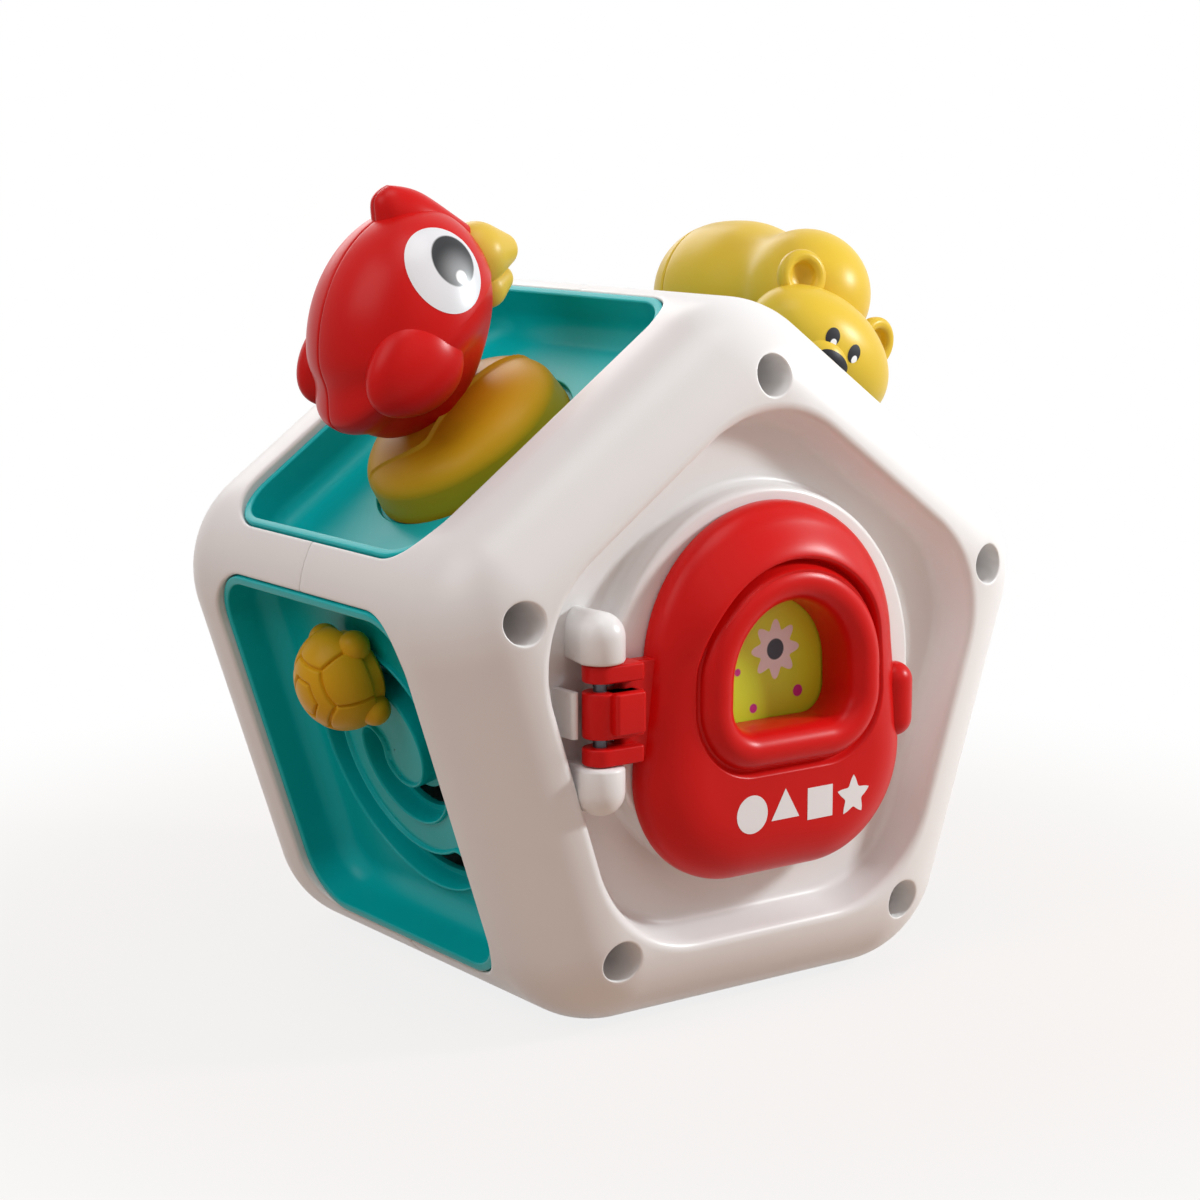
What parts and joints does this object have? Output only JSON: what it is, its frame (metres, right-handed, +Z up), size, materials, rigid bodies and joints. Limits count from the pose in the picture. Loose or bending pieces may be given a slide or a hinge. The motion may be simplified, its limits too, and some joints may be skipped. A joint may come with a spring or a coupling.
{
  "type": "activity toy",
  "caption": "Rounded pentagonal activity drum for a baby, with a hinged door over a picture, turning bird and bear, a sliding turtle, meshing gears and a back mirror.",
  "frame": {"origin": "on the ground under the middle of the whole toy, halfway between the front of the door and the back of the mirror ring", "axes": "+Z up, +X to the right when facing the door, the door faces -Y and the prism's axis lies along Y"},
  "size_m": [0.1614, 0.1384, 0.1798],
  "materials": {
    "shell_white": "satin moulded",
    "tray_teal": "satin moulded",
    "door_red": "satin moulded",
    "bear_yellow": "satin moulded",
    "ochre": "satin moulded",
    "beak_yellow": "satin moulded",
    "picture": "printed card",
    "mirror_film": "safety mirror",
    "steel": "zinc plated",
    "inner_white": "moulded"
  },
  "bodies": {
    "case": {"front_shell": "shell_white", "rear_shell": "shell_white", "case_screws": "steel", "bird_tray": "tray_teal", "bear_tray": "tray_teal", "maze_tray": "tray_teal", "gear_tray": "tray_teal", "base_tray": "tray_teal", "hinge_pin": "steel", "picture_card": "picture", "mirror": "mirror_film", "mirror_ring": "ochre", "maze_arm_screw": "steel", "gear_caps": "ochre"},
    "door": {"door": "door_red"},
    "bird": {"bird_bun": "ochre", "bird_front_half": "door_red", "bird_rear_half": "door_red", "bird_upper_beak": "beak_yellow", "bird_lower_beak": "beak_yellow", "bird_washer": "steel", "bird_screw": "steel"},
    "bear": {"bear_bun": "bear_yellow", "bear_body": "bear_yellow", "bear_rear_cap": "bear_yellow", "bear_head": "bear_yellow", "bear_washer": "steel", "bear_screw": "steel"},
    "maze_arm": {"maze_arm": "inner_white"},
    "turtle": {"turtle_shell": "ochre", "turtle_belly": "ochre", "turtle_retainer": "inner_white"},
    "gear_a": {"gear_a": "door_red"},
    "gear_b": {"gear_b": "bear_yellow"},
    "gear_c": {"gear_c": "shell_white"}
  },
  "joints": [
    {"name": "door_hinge", "type": "hinge", "parent": "case", "child": "door", "pos_m": [-0.046, -0.0598, 0.0725], "axis": [0, 0, -1], "range_deg": [0, 110]},
    {"name": "bird_turn", "type": "hinge", "parent": "case", "child": "bird", "pos_m": [0, 0.0042, 0.0725], "axis": [-0.5878, 0, 0.809], "continuous": true},
    {"name": "bear_turn", "type": "hinge", "parent": "case", "child": "bear", "pos_m": [0, 0.0042, 0.0725], "axis": [0.5878, 0, 0.809], "continuous": true},
    {"name": "maze_arm_turn", "type": "hinge", "parent": "case", "child": "maze_arm", "pos_m": [0, 0.0042, 0.0725], "axis": [-0.9511, 0, -0.309], "range_deg": [-272, 153]},
    {"name": "turtle_slide", "type": "slide", "parent": "maze_arm", "child": "turtle", "axis": [-0.3088, 0.0349, 0.9505], "range_m": [-0.01283, 0.00722]},
    {"name": "gear_a_turn", "type": "hinge", "parent": "case", "child": "gear_a", "pos_m": [0.00498, 0.01528, 0.08784], "axis": [0.9511, 0, -0.309], "continuous": true},
    {"name": "gear_b_turn", "type": "hinge", "parent": "case", "child": "gear_b", "pos_m": [0, -0.00688, 0.0725], "axis": [0.9511, 0, -0.309], "continuous": true},
    {"name": "gear_c_turn", "type": "hinge", "parent": "case", "child": "gear_c", "pos_m": [-0.00498, 0.01528, 0.05716], "axis": [0.9511, 0, -0.309], "continuous": true}
  ],
  "couplings": [
    {"joint": "turtle_slide", "follows": "maze_arm_turn", "m_per_rad": 0.0027},
    {"joint": "gear_b_turn", "follows": "gear_a_turn", "ratio": -1},
    {"joint": "gear_c_turn", "follows": "gear_a_turn", "ratio": 1}
  ]
}
